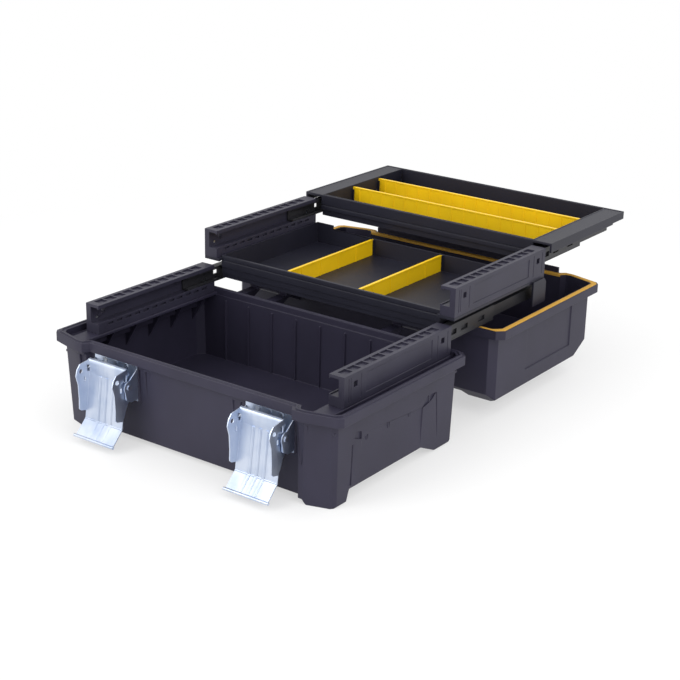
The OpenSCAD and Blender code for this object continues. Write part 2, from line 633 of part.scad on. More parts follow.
module lid_shell() {
    color(black) place() laid_back() difference() {
        union() {
            difference() {
                union() {
                    lid_form(0);
                    slab(lid_z, lid_z + rim_h, 0, 0, lid_out);
                }
                lid_form(wall);
                slab(lid_z - 1, lid_z + rim_h - wall, inset, rim_rear + wall, lid_out);
                both() flute(pad_x + 8, pad_x + 17, lid_z + rim_h + 4, panel_z - 24, rim_out - pad_out + 1);
                both() block([wall_x - 1.4, 56, lid_z + rim_h + 6], [wall_x + 1, base_d - 87, panel_z - 18]);
            }
            housing();
            // the skirt that covers the front of the base's rim between the corner pads
            block([1.5 - pad_x, -mid_out - lid_out, lid_z - skirt_drop], [pad_x - 1.5, -mid_out - skirt_gap, lid_z + 1]);
            // ledges that the latch claws hook over
            both() block([latch_x - 24, pivot_y + 1 - catch_d, catch_z - 3], [latch_x + 24, -mid_out - lid_out + 1, catch_z]);
            both() knuckle_lid();
            for (x = [-90, -30, 30, 90]) block([x - 1.2, inner_rear - 2, lid_z + 6], [x + 1.2, inner_rear + 1, panel_z - 18]);
        }
        difference() {
            slab(lid_z - 1, lid_z + seal_groove, seal_in, seal_rear, seal_fwd);
            slab(lid_z - 2, lid_z + seal_groove + 1, seal_in + seal_w, seal_rear + seal_rear_w, seal_fwd);
        }
        // the handle's pocket, and the hollow inside its housing
        block([-pocket_w / 2, housing_y + 9, panel_z], [pocket_w / 2, housing_y + 9 + pocket_d, crown_z + 1]);
        both() difference() {
            block([pocket_w / 2 + wall, housing_y + wall + 2, panel_z - wall - 1],
                [housing_w / 2 - wall, housing_y + housing_d - wall - 2, crown_z - 12]);
            rod_x(pocket_w / 2, housing_w / 2, handle_y1, handle_z, handle_pin_r + wall);
        }
        both() rod_x(pocket_w / 2 - 1, pocket_w / 2 + 10, handle_y1, handle_z, handle_pin_r);
        both() rod_x(hinge_x - hinge_w, hinge_x + hinge_w, hinge_y, hinge_z, hinge_pin_r + run_gap);
    }
}
module knuckle_lid() {
    x0 = hinge_x - hinge_w / 2 + knuckle_w + side_gap;
    x1 = hinge_x + hinge_w / 2 - knuckle_w - side_gap;
    along_x(x0, x1) {
        translate([hinge_y, hinge_z]) circle(r = knuckle_r);
        polygon([[rear_y - 1, lid_z + 28], [rear_y - 1, lid_z + 2], [hinge_y - 8, lid_z + 2],
            [hinge_y, hinge_z - knuckle_r * 0.4], [hinge_y, hinge_z + knuckle_r], [hinge_y - 8, hinge_z + knuckle_r + 4]]);
    }
}
module lid_seal() {
    color(amber) place() laid_back() difference() {
        slab(lid_z - seal_proud, lid_z + seal_groove, seal_in, seal_rear, seal_fwd);
        slab(lid_z - 2, lid_z + seal_groove + 1, seal_in + seal_w, seal_rear + seal_rear_w, seal_fwd);
    }
}
module lid_hinge_pins() {
    color(steel) place() both() rod_x(hinge_x - hinge_w / 2 - 1.5, hinge_x + hinge_w / 2 + 1.5, hinge_y, hinge_z, hinge_pin_r);
}

// handle ---------------------------------------------------------------------
arm_w = 13;
module handle_pins() {
    color(steel) place() laid_back() both()
        rod_x(handle_w / 2 - arm_w, pocket_w / 2 + 10, handle_y1, handle_z, handle_pin_r);
}
module carry_handle() {
    h = grip_t / 2;
    yg = handle_y1 - handle_l;
    color(black) place() laid_back() difference() {
        union() {
            // the grip, an octagonal bar with finger waves under it
            along_x(-handle_w / 2, handle_w / 2) polygon([[yg - 9, handle_z - h + 4], [yg - 5, handle_z - h],
                [yg + 5, handle_z - h], [yg + 9, handle_z - h + 4], [yg + 9, handle_z + h - 4],
                [yg + 5, handle_z + h], [yg - 5, handle_z + h], [yg - 9, handle_z + h - 4]]);
            both() block([handle_w / 2 - arm_w, yg, handle_z - h + 3], [handle_w / 2, handle_y1, handle_z + h - 3]);
            both() rod_x(handle_w / 2 - arm_w, handle_w / 2, handle_y1, handle_z, h - 1);
        }
        both() rod_x(handle_w / 2 - arm_w - 1, handle_w / 2 + 1, handle_y1, handle_z, handle_pin_r + run_gap);
        for (k = [-3 : 3]) translate([k * 18, yg + 12.5, handle_z - grip_t]) cylinder(h = 2 * grip_t, r = 7);
    }
}

// latches --------------------------------------------------------------------
rivet_r = 1.8;
latch_seat = lever_w / 2 + 6;
bracket_holes = concat([for (x = [-17, 0, 17]) [x, pivot_z + 19.5]], [for (x = [-16, 16]) [x, pivot_z - 16]]);
module latch_bracket(s) {
    color(steel) place() translate([s * latch_x, 0, 0]) difference() {
        union() {
            block([-ear_x - plate_t, front_y - plate_t, pivot_z - 22], [ear_x + plate_t, front_y, pivot_z + 23.5]);
            both() along_x(ear_x, ear_x + plate_t) {
                translate([pivot_y, pivot_z]) circle(r = 8.5);
                polygon([[front_y - 0.5, pivot_z - 19], [front_y - 0.5, pivot_z + 20], [pivot_y, pivot_z + 8.3],
                    [pivot_y - 8.3, pivot_z], [pivot_y - 5, pivot_z - 15], [pivot_y + 3, pivot_z - 20]]);
            }
        }
        rod_x(-lever_w, lever_w, pivot_y, pivot_z, latch_pin_r + run_gap);
        for (p = bracket_holes) translate([p[0], front_y, p[1]]) rotate([90, 0, 0])
            cylinder(h = 12, r = rivet_r, center = true);
    }
}
module bracket_rivets() {
    color(steel) place() both() for (p = bracket_holes) translate([latch_x + p[0], front_y + 1, p[1]]) rotate([90, 0, 0]) {
        cylinder(h = 1 + plate_t, r = rivet_r);
        translate([0, 0, 1 + plate_t]) cylinder(h = 1, r = 3.2);
        translate([0, 0, 1 - wall]) cylinder(h = wall, r = rivet_r);
        translate([0, 0, -wall]) cylinder(h = 1, r = 2.8);
    }
}
module latch_pivot_rivets() {
    color(steel) place() both() translate([latch_x, 0, 0]) both() {
        rod_x(ear_x - link_gap - plate_t, ear_x + plate_t + 1, pivot_y, pivot_z, latch_pin_r);
        rod_x(ear_x + plate_t, ear_x + plate_t + 1.2, pivot_y, pivot_z, latch_pin_r + 1.5);
    }
}
link_gap = 0.3;
module latch_link(s) {
    color(steel) place() translate([s * latch_x, 0, 0]) difference() {
        union() {
            both() along_x(ear_x - link_gap - plate_t, ear_x - link_gap) {
                translate([pivot_y, pivot_z]) circle(r = 5);
                translate([swing_y, swing_z]) circle(r = 5);
                polygon([[pivot_y - 5, pivot_z], [pivot_y + 5, pivot_z], [swing_y + 5, swing_z], [swing_y - 5, swing_z]]);
            }
        }
        rod_x(-lever_w, lever_w, pivot_y, pivot_z, latch_pin_r + run_gap);
        rod_x(-lever_w, lever_w, swing_y, swing_z, latch_pin_r);
    }
}
module latch_lever_pin(s) {
    color(steel) place() translate([s * latch_x, 0, 0])
        rod_x(link_gap + plate_t - ear_x - plate_t, ear_x - link_gap, swing_y, swing_z, latch_pin_r);
}
// a band between the offsets t0 and t1 behind that line
function band(line, t0, t1) = concat([for (k = [0 : len(line) - 1]) line[k] + t0 * band_side(line, k)],
    [for (k = [len(line) - 1 : -1 : 0]) line[k] + t1 * band_side(line, k)]);
function unit(v) = v / norm(v);
function band_side(line, k) = let (
    a = unit(line[min(k + 1, len(line) - 1)] - line[max(k - 1, 0)])) [-a[1], a[0]];
// a side plate of the lever: the ear in front of its face, and the tongue that carries its pin behind it
function ear_line() = [[pivot_y - 0.5, claw_z - 1.1], [pivot_y - 17.5, claw_z - 3.5],
    [pivot_y - 22.5, pivot_z + 13.5], [pivot_y - 25, pivot_z + 5.5], [pivot_y - 21.5, pivot_z - 6],
    [pivot_y - 20.5, pivot_z - 25], [pivot_y - 21, pivot_z - 38], [pivot_y - 18, pivot_z - 41],
    [pivot_y - 9, pivot_z - 43], [pivot_y - 5.5, pivot_z - 38], [pivot_y - 1, swing_z - 14],
    [swing_y + 5, swing_z - 4], [swing_y + 5, claw_z - 8]];
module latch_lever(s) {
    rib = [for (k = [5 : 7]) lever_line[k]];
    w = lever_w / 2 - plate_t;
    color(steel) place() translate([s * latch_x, 0, 0]) difference() {
        union() {
            along_x(-lever_w / 2, lever_w / 2) polygon(band(lever_line, 0, plate_t));
            rod_x(-lip_w / 2, lip_w / 2, lip_y, lip_z, lip_r);
            rod_x(0.4 - lever_w / 2, lever_w / 2 - 0.4, step_y + 0.3, step_z, 1.4);
            for (x = [-1, 0, 1] * lever_w / 6) {
                along_x(x - 2.4, x + 2.4) polygon(band(rib, -0.7, plate_t / 2));
                along_x(x - 1.4, x + 1.4) polygon(band(rib, -1.3, plate_t / 2));
            }
            both() along_x(w, lever_w / 2) polygon(ear_line());
        }
        rod_x(-lever_w, lever_w, swing_y, swing_z, latch_pin_r + run_gap);
        // the round hole and the two slots pressed in the side plates
        rod_x(-lever_w, lever_w, pivot_y - 16.5, pivot_z + 10, 2.8);
        both() {
            block([w - 1, pivot_y - 11.5, pivot_z - 4.5], [lever_w, pivot_y - 9, pivot_z + 1]);
            block([w - 2.5, pivot_y - 5.5, pivot_z + 7], [lever_w, pivot_y - 0.5, pivot_z + 15]);
        }
    }
}

base_tub();
rail(-1, 0, 0);  // lower_rail_left
rail(1, 0, 0);  // lower_rail_right
rail_screws(0, 0);  // lower_rail_screws
stop_pins(0, 0);  // lower_stop_pins
lid_hinge_pins();
latch_bracket(-1);  // latch_bracket_left
latch_bracket(1);  // latch_bracket_right
bracket_rivets();
latch_pivot_rivets();
slide_member(-1, 0);  // lower_slide_left
slide_member(1, 0);  // lower_slide_right
slide_pin(-1, 0);  // lower_slide_pin_left
slide_pin(1, 0);  // lower_slide_pin_right
middle_tray();
runner(-1, 0, mid_y0 + 3, mid_y1 - 3);  // middle_runner_left
runner(1, 0, mid_y0 + 3, mid_y1 - 3);  // middle_runner_right
rail(-1, tray_travel, level_step);  // upper_rail_left
rail(1, tray_travel, level_step);  // upper_rail_right
rail_screws(tray_travel, level_step);  // upper_rail_screws
stop_pins(tray_travel, level_step);  // upper_stop_pins
middle_divider(divider_left);  // middle_divider_left
middle_divider(divider_right);  // middle_divider_right
slide_member(-1, 1);  // upper_slide_left
slide_member(1, 1);  // upper_slide_right
slide_pin(-1, 1);  // upper_slide_pin_left
slide_pin(1, 1);  // upper_slide_pin_right
top_tray();
runner(-1, 1, top_y0 + 5, top_y1 - 20);  // top_runner_left
runner(1, 1, top_y0 + 5, top_y1 - 20);  // top_runner_right
top_divider(top_div_y1);  // top_divider_front
top_divider(top_div_y2);  // top_divider_rear
lid_shell();
lid_seal();
handle_pins();
carry_handle();
latch_link(-1);  // latch_link_left
latch_link(1);  // latch_link_right
latch_lever(-1);  // latch_lever_left
latch_lever(1);  // latch_lever_right
latch_lever_pin(-1);  // latch_lever_pin_left
latch_lever_pin(1);  // latch_lever_pin_right
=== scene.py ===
"""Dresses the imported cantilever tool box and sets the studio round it."""

import json
import logging
import math
from dataclasses import dataclass, field
from enum import Enum
from typing import Optional, Sequence, Union

import bpy
from mathutils import Matrix, Vector


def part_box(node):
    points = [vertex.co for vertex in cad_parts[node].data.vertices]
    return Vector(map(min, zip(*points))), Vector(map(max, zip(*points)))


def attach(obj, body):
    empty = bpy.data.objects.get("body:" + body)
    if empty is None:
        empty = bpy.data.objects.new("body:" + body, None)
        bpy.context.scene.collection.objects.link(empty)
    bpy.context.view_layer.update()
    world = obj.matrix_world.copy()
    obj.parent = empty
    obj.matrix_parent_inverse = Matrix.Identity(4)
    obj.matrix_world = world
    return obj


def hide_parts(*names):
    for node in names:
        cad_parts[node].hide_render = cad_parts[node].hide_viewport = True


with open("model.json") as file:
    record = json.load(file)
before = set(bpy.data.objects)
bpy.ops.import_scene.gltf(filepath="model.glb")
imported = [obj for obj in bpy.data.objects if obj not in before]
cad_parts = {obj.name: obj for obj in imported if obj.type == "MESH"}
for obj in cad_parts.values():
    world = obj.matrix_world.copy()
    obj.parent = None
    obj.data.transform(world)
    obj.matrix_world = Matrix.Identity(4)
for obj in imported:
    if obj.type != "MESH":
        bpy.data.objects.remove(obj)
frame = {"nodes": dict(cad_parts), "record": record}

LOG = logging.getLogger("tool_box")
MM = 0.001
# Faces across a rounded edge
ROUND_SEGMENTS = 2
# Least angle of an edge that is rounded
ROUND_ANGLE = math.radians(32.0)
# Least angle of an edge that stays sharp in the shading
SMOOTH_ANGLE = math.radians(50.0)
# How much large faces pull the shading
NORMAL_WEIGHT = 60
# Vertices that are closer than this are merged
WELD = 0.004 * MM
# Middle of a noise's range
MIDDLE = 0.5
# Sockets of the Mix node's colours, whose names are shared with other sockets
MIX_LOW, MIX_HIGH, MIX_RESULT = 6, 7, 2
WHITE = (1.0, 1.0, 1.0, 1.0)
Triple = tuple[float, float, float]
Span = tuple[float, float]
Shade = tuple[float, float, float, float]
Colour = Triple
Value = Union["Wire", float, Sequence[float]]


# Shader wiring ----------------------------------------------------------------


class Wire:
    """A socket's output that can be used in Python expressions."""

    def __init__(self, graph: "Graph", socket: bpy.types.NodeSocket) -> None:
        """Keeps the graph and the socket."""
        self.graph = graph
        self.socket = socket

    def _maths(self, operation: str, first: Value, second: Value) -> "Wire":
        """Adds a Math node.

        Args:
            operation: the Math node's operation.
            first: its first number.
            second: its second number.

        Returns:
            The node's value.
        """
        node = self.graph.add(
            "ShaderNodeMath", {"operation": operation}, {0: first, 1: second}
        )
        return Wire(self.graph, node.outputs[0])

    def __add__(self, other: Value) -> "Wire":
        """self + other."""
        return self._maths("ADD", self, other)

    def __radd__(self, other: Value) -> "Wire":
        """other + self."""
        return self._maths("ADD", other, self)

    def __sub__(self, other: Value) -> "Wire":
        """self - other."""
        return self._maths("SUBTRACT", self, other)

    def __rsub__(self, other: Value) -> "Wire":
        """other - self."""
        return self._maths("SUBTRACT", other, self)

    def __mul__(self, other: Value) -> "Wire":
        """self * other."""
        return self._maths("MULTIPLY", self, other)

    def __rmul__(self, other: Value) -> "Wire":
        """other * self."""
        return self._maths("MULTIPLY", other, self)

    def most(self, other: Value) -> "Wire":
        """The larger of self and other."""
        return self._maths("MAXIMUM", self, other)

    def ramp(self, low: float, high: float) -> "Wire":
        """Brings self from low..high to 0..1, smoothly and clamped.

        Args:
            low: the value that becomes 0.
            high: the value that becomes 1.

        Returns:
            The new value.
        """
        node = self.graph.add(
            "ShaderNodeMapRange",
            {"interpolation_type": "SMOOTHSTEP", "clamp": True},
            {"Value": self, "From Min": low, "From Max": high, "To Min": 0.0, "To Max": 1.0},
        )
        return Wire(self.graph, node.outputs["Result"])


@dataclass(frozen=True)
class Pattern:
    """A noise: its frequency per metre, finer layers, stretch, and turn in radians."""

    scale: float
    detail: float = 2.0
    stretch: Optional[Triple] = None
    turn: Triple = (0.0, 0.0, 0.0)


class Graph:
    """The node tree of a material or of the world."""

    def __init__(self, tree: bpy.types.NodeTree) -> None:
        """Empties the tree.

        Args:
            tree: the node tree that is built.
        """
        self.tree = tree
        tree.nodes.clear()
        self._coordinates: Optional[Wire] = None

    def add(
        self,
        kind: str,
        settings: Optional[dict[str, object]] = None,
        inputs: Optional[dict[Union[str, int], Value]] = None,
    ) -> bpy.types.Node:
        """Adds any node.

        Args:
            kind: the node's type.
            settings: its own settings, which are set first.
            inputs: the values or wires of its sockets, by name or number.

        Returns:
            The node.
        """
        node = self.tree.nodes.new(kind)
        for name, value in (settings or {}).items():
            setattr(node, name, value)
        for key, value in (inputs or {}).items():
            if isinstance(value, Wire):
                self.tree.links.new(value.socket, node.inputs[key])
            else:
                node.inputs[key].default_value = value
        return node

    def wire(self, node: bpy.types.Node, output: Union[str, int] = 0) -> Wire:
        """One output of a node as a wire."""
        return Wire(self, node.outputs[output])

    def place(self) -> Wire:
        """Gives the object coordinates, from one node for the whole tree.

        Returns:
            The coordinates, in metres.
        """
        if self._coordinates is None:
            self._coordinates = self.wire(self.add("ShaderNodeTexCoord"), "Object")
        return self._coordinates

    def laid_out(self, pattern: Pattern) -> Wire:
        """Gives the coordinates that a pattern is laid out on.

        Args:
            pattern: the pattern.

        Returns:
            The object coordinates, stretched and turned where the pattern asks it.
        """
        if pattern.stretch is None:
            return self.place()
        node = self.add(
            "ShaderNodeMapping",
            {},
            {"Vector": self.place(), "Scale": pattern.stretch, "Rotation": pattern.turn},
        )
        return self.wire(node)

    def noise(self, pattern: Pattern) -> Wire:
        """Adds a noise.

        Args:
            pattern: its scale, detail and layout.

        Returns:
            The noise value, from 0 to 1.
        """
        node = self.add(
            "ShaderNodeTexNoise",
            {},
            {
                "Vector": self.laid_out(pattern),
                "Scale": pattern.scale,
                "Detail": pattern.detail,
            },
        )
        return self.wire(node)

    def cells(self, scale: float) -> Wire:
        """The distance to the nearest of many scattered points, scale of them to a metre."""
        node = self.add("ShaderNodeTexVoronoi", {}, {"Vector": self.place(), "Scale": scale})
        return self.wire(node)

    def blend(self, mask: Value, low: Value, high: Value) -> Wire:
        """Mixes two colours.

        Args:
            mask: 0 for the first colour and 1 for the second.
            low: the first colour.
            high: the second colour.

        Returns:
            The mixed colour.
        """
        node = self.add(
            "ShaderNodeMix", {"data_type": "RGBA"}, {0: mask, MIX_LOW: low, MIX_HIGH: high}
        )
        return self.wire(node, MIX_RESULT)

    def bump(self, height: Wire, depth: float, strength: float = 1.0) -> Wire:
        """Turns a height into a normal.

        Args:
            height: the height, from 0 to 1.
            depth: the relief that 1 stands for, in metres.
            strength: how much of it shows.

        Returns:
            The normal.
        """
        node = self.add(
            "ShaderNodeBump", {}, {"Strength": strength, "Distance": depth, "Height": height}
        )
        return self.wire(node)


def rgba(colour: Colour) -> Shade:
    """A colour with full alpha."""
    return (*colour, 1.0)


def scaled(colour: Colour, factor: float) -> Colour:
    """A colour made lighter or darker."""
    return tuple(min(1.0, c * factor) for c in colour)


# Finishes -----------------------------------------------------------------------


@dataclass(frozen=True)
class Finish:
    """A finish that becomes one material."""

    name: str
    slot: str
    colour: Colour

    def dress(self, graph: Graph) -> dict[str, Value]:
        """Gives the values of the main shader's sockets."""
        raise NotImplementedError

    def shades(self, *factors: float) -> list[Shade]:
        """The finish's colour, made lighter or darker by each factor."""
        return [rgba(scaled(self.colour, factor)) for factor in factors]

    def material(self) -> bpy.types.Material:
        """Gives the finish's material, which is made on first use.

        Returns:
            The material.
        """
        known = bpy.data.materials.get(self.name)
        if known is not None:
            return known
        made = bpy.data.materials.new(self.name)
        made.use_nodes = True
        graph = Graph(made.node_tree)
        shader = graph.add("ShaderNodeBsdfPrincipled", {}, self.dress(graph))
        graph.add("ShaderNodeOutputMaterial", {}, {"Surface": graph.wire(shader)})
        made.diffuse_color = rgba(self.colour)
        return made


@dataclass(frozen=True)
class MouldedPlastic(Finish):
    """Charcoal plastic with a fine spark-eroded grain, faint flow marks and rubbed spots."""

    roughness: float = 0.5
    sheen: float = 0.3
    grain: float = 1500.0
    pit_ratio: float = 0.55
    grain_depth: float = 0.06 * MM
    grain_strength: float = 0.8
    grain_part: float = 0.7
    pit_part: float = 0.5
    grain_roughness: float = 0.12
    clouds: Pattern = Pattern(9.0, 3.0)
    cloud_part: float = 0.6
    flow: Pattern = Pattern(26.0, 2.0, (1.0, 1.0, 0.35))
    flow_part: float = 0.4
    tone_span: Span = (0.3, 0.7)
    dark: float = 0.86
    light: float = 1.12
    rubs: Pattern = Pattern(70.0, 4.0, (1.0, 1.0, 5.0), (0.2, 0.5, 0.3))
    rub_span: Span = (0.64, 0.76)
    rub_light: float = 1.35
    rub_part: float = 0.35
    rub_roughness: float = 0.06

    def dress(self, graph: Graph) -> dict[str, Value]:
        """Gives the values of the main shader's sockets.

        Args:
            graph: the material's node tree.

        Returns:
            Socket names with their values.
        """
        clouds = graph.noise(self.clouds)
        flow = graph.noise(self.flow)
        grain = graph.noise(Pattern(self.grain))
        pits = graph.cells(self.grain * self.pit_ratio)
        rubbed = graph.noise(self.rubs).ramp(*self.rub_span)
        tone = (clouds * self.cloud_part + flow * self.flow_part).ramp(*self.tone_span)
        dark, light, worn = self.shades(self.dark, self.light, self.rub_light)
        base = graph.blend(tone, dark, light)
        height = grain * self.grain_part + pits * self.pit_part
        grained = self.roughness + (grain - MIDDLE) * self.grain_roughness
        return {
            "Base Color": graph.blend(rubbed * self.rub_part, base, worn),
            "Roughness": grained + rubbed * self.rub_roughness,
            "Normal": graph.bump(height, self.grain_depth, self.grain_strength),
            "Specular IOR Level": self.sheen,
        }


@dataclass(frozen=True)
class SatinPlastic(Finish):
    """Smooth coloured plastic with faint waves, as moulded in a polished tool."""

    roughness: float = 0.38
    relief: float = 0.04 * MM
    clouds: Pattern = Pattern(16.0, 3.0)
    tone_span: Span = (0.3, 0.7)
    dark: float = 0.92
    light: float = 1.04
    fine: Pattern = Pattern(900.0)
    fine_part: float = 0.5
    fine_roughness: float = 0.08
    scuffs: Pattern = Pattern(120.0, 3.0, (0.3, 1.0, 4.0), (0.0, 0.3, 0.4))
    scuff_span: Span = (0.62, 0.74)
    scuff_dark: float = 0.8
    scuff_part: float = 0.25
    scuff_roughness: float = 0.15

    def dress(self, graph: Graph) -> dict[str, Value]:
        """Gives the values of the main shader's sockets.

        Args:
            graph: the material's node tree.

        Returns:
            Socket names with their values.
        """
        clouds = graph.noise(self.clouds)
        fine = graph.noise(self.fine)
        scuffed = graph.noise(self.scuffs).ramp(*self.scuff_span)
        dark, light, worn = self.shades(self.dark, self.light, self.scuff_dark)
        base = graph.blend(clouds.ramp(*self.tone_span), dark, light)
        dulled = self.roughness + scuffed * self.scuff_roughness
        return {
            "Base Color": graph.blend(scuffed * self.scuff_part, base, worn),
            "Roughness": dulled + (fine - MIDDLE) * self.fine_roughness,
            "Normal": graph.bump(fine * self.fine_part + clouds, self.relief),
        }


@dataclass(frozen=True)
class FoamSeal(Finish):
    """Soft amber foam cord with open cells, with painted shade in the cells' pits."""

    roughness: float = 0.75
    relief: float = 0.1 * MM
    clouds: Pattern = Pattern(30.0, 3.0)
    tone_span: Span = (0.3, 0.7)
    dark: float = 0.85
    light: float = 1.08
    cell_scale: float = 1600.0
    cell_span: Span = (0.0, 0.5)
    # How dark the painted shade in the cells' pits is, as a share of the colour
    pit_shade_factor: float = 0.7
    cell_part: float = 0.3
    cell_middle: float = 0.3
    cell_roughness: float = 0.1

    def dress(self, graph: Graph) -> dict[str, Value]:
        """Gives the values of the main shader's sockets.

        Args:
            graph: the material's node tree.

        Returns:
            Socket names with their values.
        """
        cells = graph.cells(self.cell_scale)
        clouds = graph.noise(self.clouds)
        dark, light, painted_pit_shade = self.shades(self.dark, self.light, self.pit_shade_factor)
        base = graph.blend(clouds.ramp(*self.tone_span), dark, light)
        return {
            # The cells' centres, which the bump sinks into pits, are made darker: painted shade
            # in the open cells
            "Base Color": graph.blend(cells.ramp(*self.cell_span) * self.cell_part, painted_pit_shade, base),
            "Roughness": self.roughness + (cells - self.cell_middle) * self.cell_roughness,
            "Normal": graph.bump(cells, self.relief),
        }


@dataclass(frozen=True)
class ZincPlate(Finish):
    """Pressed steel with bright zinc plating: cloudy blue tints and fine rolling lines."""

    roughness: float = 0.38
    tint: Colour = (0.46, 0.54, 0.7)
    relief: float = 0.5 * MM
    relief_strength: float = 0.5
    clouds: Pattern = Pattern(34.0, 3.0)
    cloud_part: float = 0.6
    cloud_roughness: float = 0.12
    streaks: Pattern = Pattern(90.0, 2.0, (1.0, 0.5, 0.12))
    streak_part: float = 0.5
    tone_span: Span = (0.32, 0.72)
    lines: Pattern = Pattern(420.0, 3.0, (1.0, 0.6, 0.04))
    line_part: float = 0.12
    line_roughness: float = 0.12
    waves: Pattern = Pattern(24.0, 1.0)

    def dress(self, graph: Graph) -> dict[str, Value]:
        """Gives the values of the main shader's sockets.

        Args:
            graph: the material's node tree.

        Returns:
            Socket names with their values.
        """
        clouds = graph.noise(self.clouds)
        lines = graph.noise(self.lines)
        waves = graph.noise(self.waves)
        streaks = graph.noise(self.streaks)
        tone = (clouds * self.cloud_part + streaks * self.streak_part).ramp(*self.tone_span)
        height = lines * self.line_part + waves
        rolled = (lines - MIDDLE) * self.line_roughness
        clouded = (clouds - MIDDLE) * self.cloud_roughness
        return {
            "Base Color": graph.blend(tone, rgba(self.tint), rgba(self.colour)),
            "Metallic": 1.0,
            "Roughness": self.roughness + rolled + clouded,
            "Normal": graph.bump(height, self.relief, self.relief_strength),
        }


class Finishes(Enum):
    """The finishes of the tool box."""

    CASE = MouldedPlastic("case_plastic", "charcoal_plastic", (0.026, 0.0235, 0.044))
    TRAY = MouldedPlastic(
        "tray_plastic", "charcoal_plastic", (0.015, 0.015, 0.026), roughness=0.46
    )
    RAIL = MouldedPlastic(
        "rail_plastic", "charcoal_plastic", (0.03, 0.028, 0.047), roughness=0.46
    )
    SLIDE = MouldedPlastic(
        "slide_plastic", "black_plastic", (0.022, 0.022, 0.026), grain=2200.0, roughness=0.4
    )
    DIVIDER = SatinPlastic("divider_plastic", "yellow_plastic", (0.95, 0.6, 0.004))
    SEAL = FoamSeal("seal_foam", "amber_foam", (0.95, 0.52, 0.07))
    ZINC = ZincPlate("zinc_plate", "zinc_steel", (0.64, 0.7, 0.82))
    PIN = ZincPlate("pin_steel", "zinc_steel", (0.78, 0.79, 0.8), roughness=0.3)


# Modelling helpers ----------------------------------------------------------------


def deselect() -> None:
    """Leaves nothing selected, in object mode."""
    if bpy.context.object is not None and bpy.context.object.mode != "OBJECT":
        bpy.ops.object.mode_set(mode="OBJECT")
    bpy.ops.object.select_all(action="DESELECT")


def activate(piece: bpy.types.Object) -> None:
    """Selects one object alone and makes it active.

    Args:
        piece: the object.
    """
    deselect()
    piece.select_set(True)
    bpy.context.view_layer.objects.active = piece


def apply_modifier(piece: bpy.types.Object, kind: str, settings: dict[str, object]) -> None:
    """Adds a modifier and applies it.

    Args:
        piece: the object.
        kind: the modifier's type.
        settings: the modifier's settings.
    """
    activate(piece)
    modifier = piece.modifiers.new(kind.lower(), kind)
    for name, value in settings.items():
        setattr(modifier, name, value)
    bpy.ops.object.modifier_apply(modifier=modifier.name)


def soften(piece: bpy.types.Object, width: float) -> None:
    """Rounds the sharp edges and evens the shading.

    Args:
        piece: the object.
        width: the width of the rounding, in metres.
    """
    apply_modifier(
        piece,
        "BEVEL",
        {
            "width": width,
            "segments": ROUND_SEGMENTS,
            "limit_method": "ANGLE",
            "angle_limit": ROUND_ANGLE,
            "use_clamp_overlap": False,
            "loop_slide": True,
            "miter_outer": "MITER_ARC",
        },
    )
    activate(piece)
    bpy.ops.object.shade_smooth_by_angle(angle=SMOOTH_ANGLE)
    apply_modifier(piece, "WEIGHTED_NORMAL", {"keep_sharp": True, "weight": NORMAL_WEIGHT})


def merged_copy(node: str, name: str) -> bpy.types.Object:
    """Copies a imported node's mesh into a clean new object.

    Args:
        node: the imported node.
        name: the new object's name.

    Returns:
        The new object, with doubles merged.
    """
    mesh = frame["nodes"][node].data.copy()
    mesh.name = name
    piece = bpy.data.objects.new(name, mesh)
    bpy.context.scene.collection.objects.link(piece)
    activate(piece)
    bpy.ops.mesh.customdata_custom_splitnormals_clear()
    bpy.ops.object.mode_set(mode="EDIT")
    bpy.ops.mesh.select_all(action="SELECT")
    bpy.ops.mesh.remove_doubles(threshold=WELD)
    bpy.ops.object.mode_set(mode="OBJECT")
    return piece


def finish_with(piece: bpy.types.Object, finish: Finishes) -> None:
    """Gives an object its material and material slot.

    Args:
        piece: the object.
        finish: its finish.
    """
    piece.data.materials.clear()
    piece.data.materials.append(finish.value.material())


def dress_node(node: str, finish: Finishes) -> None:
    """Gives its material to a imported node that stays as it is.

    Args:
        node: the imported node.
        finish: its finish.
    """
    piece = frame["nodes"][node]
    material = finish.value.material()
    if not piece.material_slots:
        piece.data.materials.append(material)
    for held in piece.material_slots:
        held.link = "OBJECT"
        held.material = material
    LOG.info("dressed %s", node)


def body_holding(node: str) -> str:
    """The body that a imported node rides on."""
    bodies = frame["record"]["behaviour"]["bodies"]
    return next(body for body, nodes in bodies.items() if node in nodes)


def replace_node(node: str, finish: Finishes, width: float) -> None:
    """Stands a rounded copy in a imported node's place.

    Args:
        node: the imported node.
        finish: its finish.
        width: the width of the rounding of its edges, in metres.
    """
    piece = merged_copy(node, f"{node}_dressed")
    soften(piece, width)
    finish_with(piece, finish)
    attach(piece, body_holding(node))
    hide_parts(node)
    LOG.info("replaced %s: %d faces", node, len(piece.data.polygons))


# Sub-assemblies -------------------------------------------------------------------


@dataclass
class BaseCase:
    """The moulded base with its lower rails and fasteners."""

    edge: float = 0.7 * MM
    rail_edge: float = 0.35 * MM

    def build(self) -> None:
        """Builds and dresses the base."""
        replace_node("base_tub", Finishes.CASE, self.edge)
        for side in ("left", "right"):
            replace_node(f"lower_rail_{side}", Finishes.RAIL, self.rail_edge)
        for node in ("lower_rail_screws", "lower_stop_pins", "lid_hinge_pins"):
            dress_node(node, Finishes.PIN)


@dataclass
class Slides:
    """The intermediate slides and the trays' runners."""

    edge: float = 0.3 * MM

    def build(self) -> None:
        """Builds and dresses the slides."""
        for side in ("left", "right"):
            for node in ("lower_slide", "upper_slide", "middle_runner", "top_runner"):
                replace_node(f"{node}_{side}", Finishes.SLIDE, self.edge)
            for level in ("lower", "upper"):
                dress_node(f"{level}_slide_pin_{side}", Finishes.PIN)


